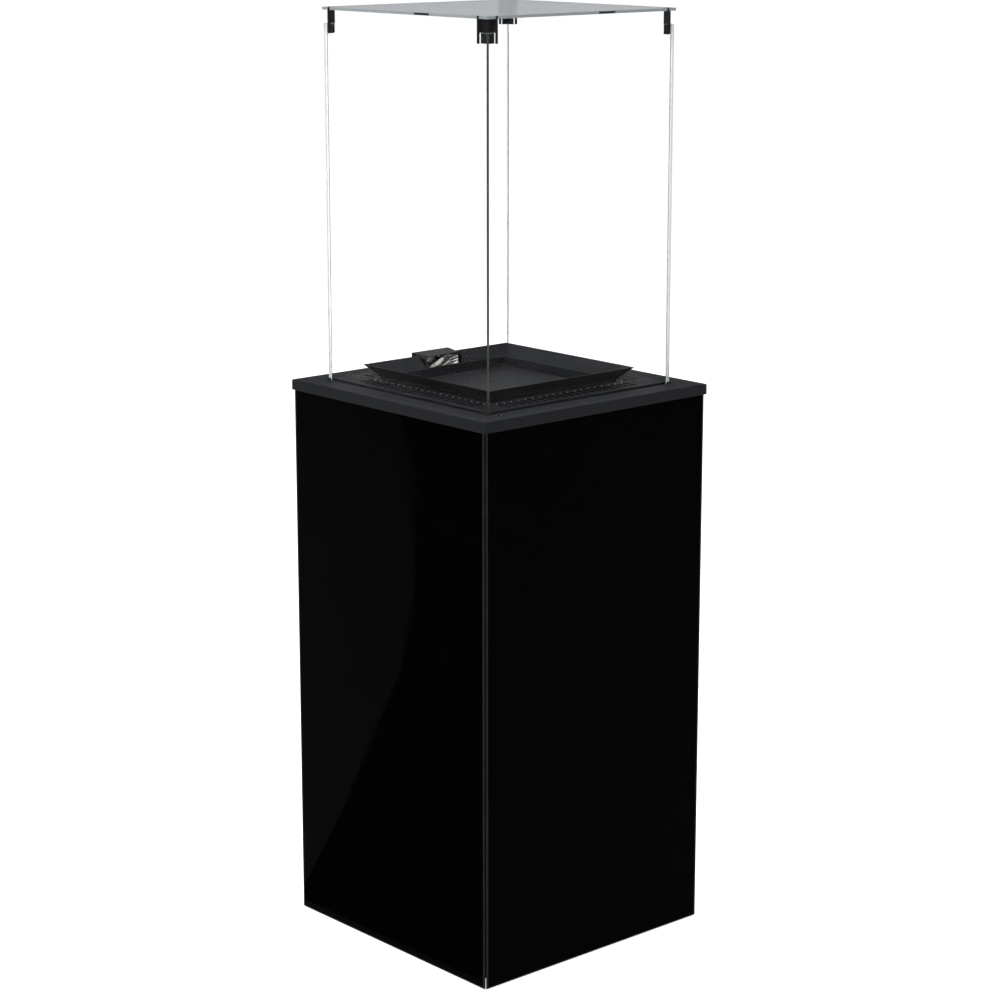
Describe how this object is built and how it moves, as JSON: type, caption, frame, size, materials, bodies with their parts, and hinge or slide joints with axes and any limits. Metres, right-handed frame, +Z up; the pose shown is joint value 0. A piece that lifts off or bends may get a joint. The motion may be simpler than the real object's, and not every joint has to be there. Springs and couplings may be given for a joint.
{
  "type": "patio heater",
  "caption": "Square column gas patio heater: black glass-clad cabinet, steel cap and burner tray, clear glass flame chamber with a lid on corner clips.",
  "frame": {"origin": "on the ground, under the middle of the square cabinet", "axes": "+Z up; +Y towards the rear door; -Y is the side of the cap with the receiver eye"},
  "size_m": [0.5, 0.5, 1.5865],
  "materials": {
    "anthracite_coat": "fine-textured powder coat",
    "black_coat": "matt heat-proof black coat",
    "black_glass": "black back-painted glass",
    "clear_glass": "clear tempered glass",
    "stainless": "brushed stainless steel",
    "zinc_steel": "zinc-plated steel",
    "rubber": "matt rubber",
    "brass": "turned brass",
    "cast_alloy": "die-cast alloy",
    "black_plastic": "fine-grained moulded plastic",
    "ceramic": "glazed white ceramic",
    "lens": "dark smoked lens"
  },
  "bodies": {
    "root": {"bottle_ring": "black_coat", "burner_box": "stainless", "burner_pipe": "cast_alloy", "burner_tray": "anthracite_coat", "cap_plate": "anthracite_coat", "clip_front_left": "black_coat", "clip_front_right": "black_coat", "clip_rear_left": "black_coat", "clip_rear_right": "black_coat", "control_box": "black_plastic", "control_rail": "black_coat", "corner_shoes": "rubber", "deck_plate": "anthracite_coat", "electrode_insulator": "ceramic", "electrode_tip": "stainless", "eye_lens": "lens", "floor_pan": "black_coat", "foot_screws": "zinc_steel", "gas_valve": "cast_alloy", "head_frame": "black_coat", "hinge_frame_knuckles": "black_coat", "hinge_pins": "stainless", "hose_nipple": "brass", "injector": "brass", "magnet_catches": "black_plastic", "pane_front": "clear_glass", "pane_left": "clear_glass", "pane_rear": "clear_glass", "pane_right": "clear_glass", "panel_front_glass": "black_glass", "panel_front_tray": "anthracite_coat", "panel_left_glass": "black_glass", "panel_left_tray": "anthracite_coat", "panel_nuts": "zinc_steel", "panel_right_glass": "black_glass", "panel_right_tray": "anthracite_coat", "pilot_bracket": "stainless", "pilot_burner": "stainless", "pilot_hood": "black_coat", "pilot_pipe": "cast_alloy", "post_front_left": "black_coat", "post_front_right": "black_coat", "post_rear_left": "black_coat", "post_rear_right": "black_coat", "rubber_feet": "rubber", "thermocouple": "stainless", "tray_rails": "zinc_steel", "venturi": "stainless"},
    "door": {"door_tray": "anthracite_coat", "door_glass": "black_glass", "door_pull": "black_plastic", "door_strikes": "zinc_steel", "hinge_door_knuckles": "black_coat"},
    "lid": {"lid_glass": "clear_glass"},
    "knob": {"valve_knob": "black_plastic"},
    "battery_door": {"battery_cover": "black_plastic"},
    "rocker": {"rocker_switch": "black_plastic"}
  },
  "joints": [
    {"name": "door_hinge", "type": "hinge", "parent": "root", "child": "door", "pos_m": [0.2473, 0.2473, 0.48], "axis": [0, 0, -1], "range_deg": [0, 110]},
    {"name": "lid_lift", "type": "slide", "parent": "root", "child": "lid", "axis": [0, 0, 1], "range_m": [0, 0.25]},
    {"name": "knob_turn", "type": "hinge", "parent": "root", "child": "knob", "pos_m": [0, 0.215, 0.884], "axis": [0, 1, 0], "range_deg": [0, 90]},
    {"name": "battery_cover_slide", "type": "slide", "parent": "root", "child": "battery_door", "axis": [0, 0, -1], "range_m": [0, 0.06]},
    {"name": "rocker_tilt", "type": "hinge", "parent": "root", "child": "rocker", "pos_m": [0.154, 0.226, 0.885], "axis": [-1, 0, 0], "range_deg": [0, 14]}
  ]
}
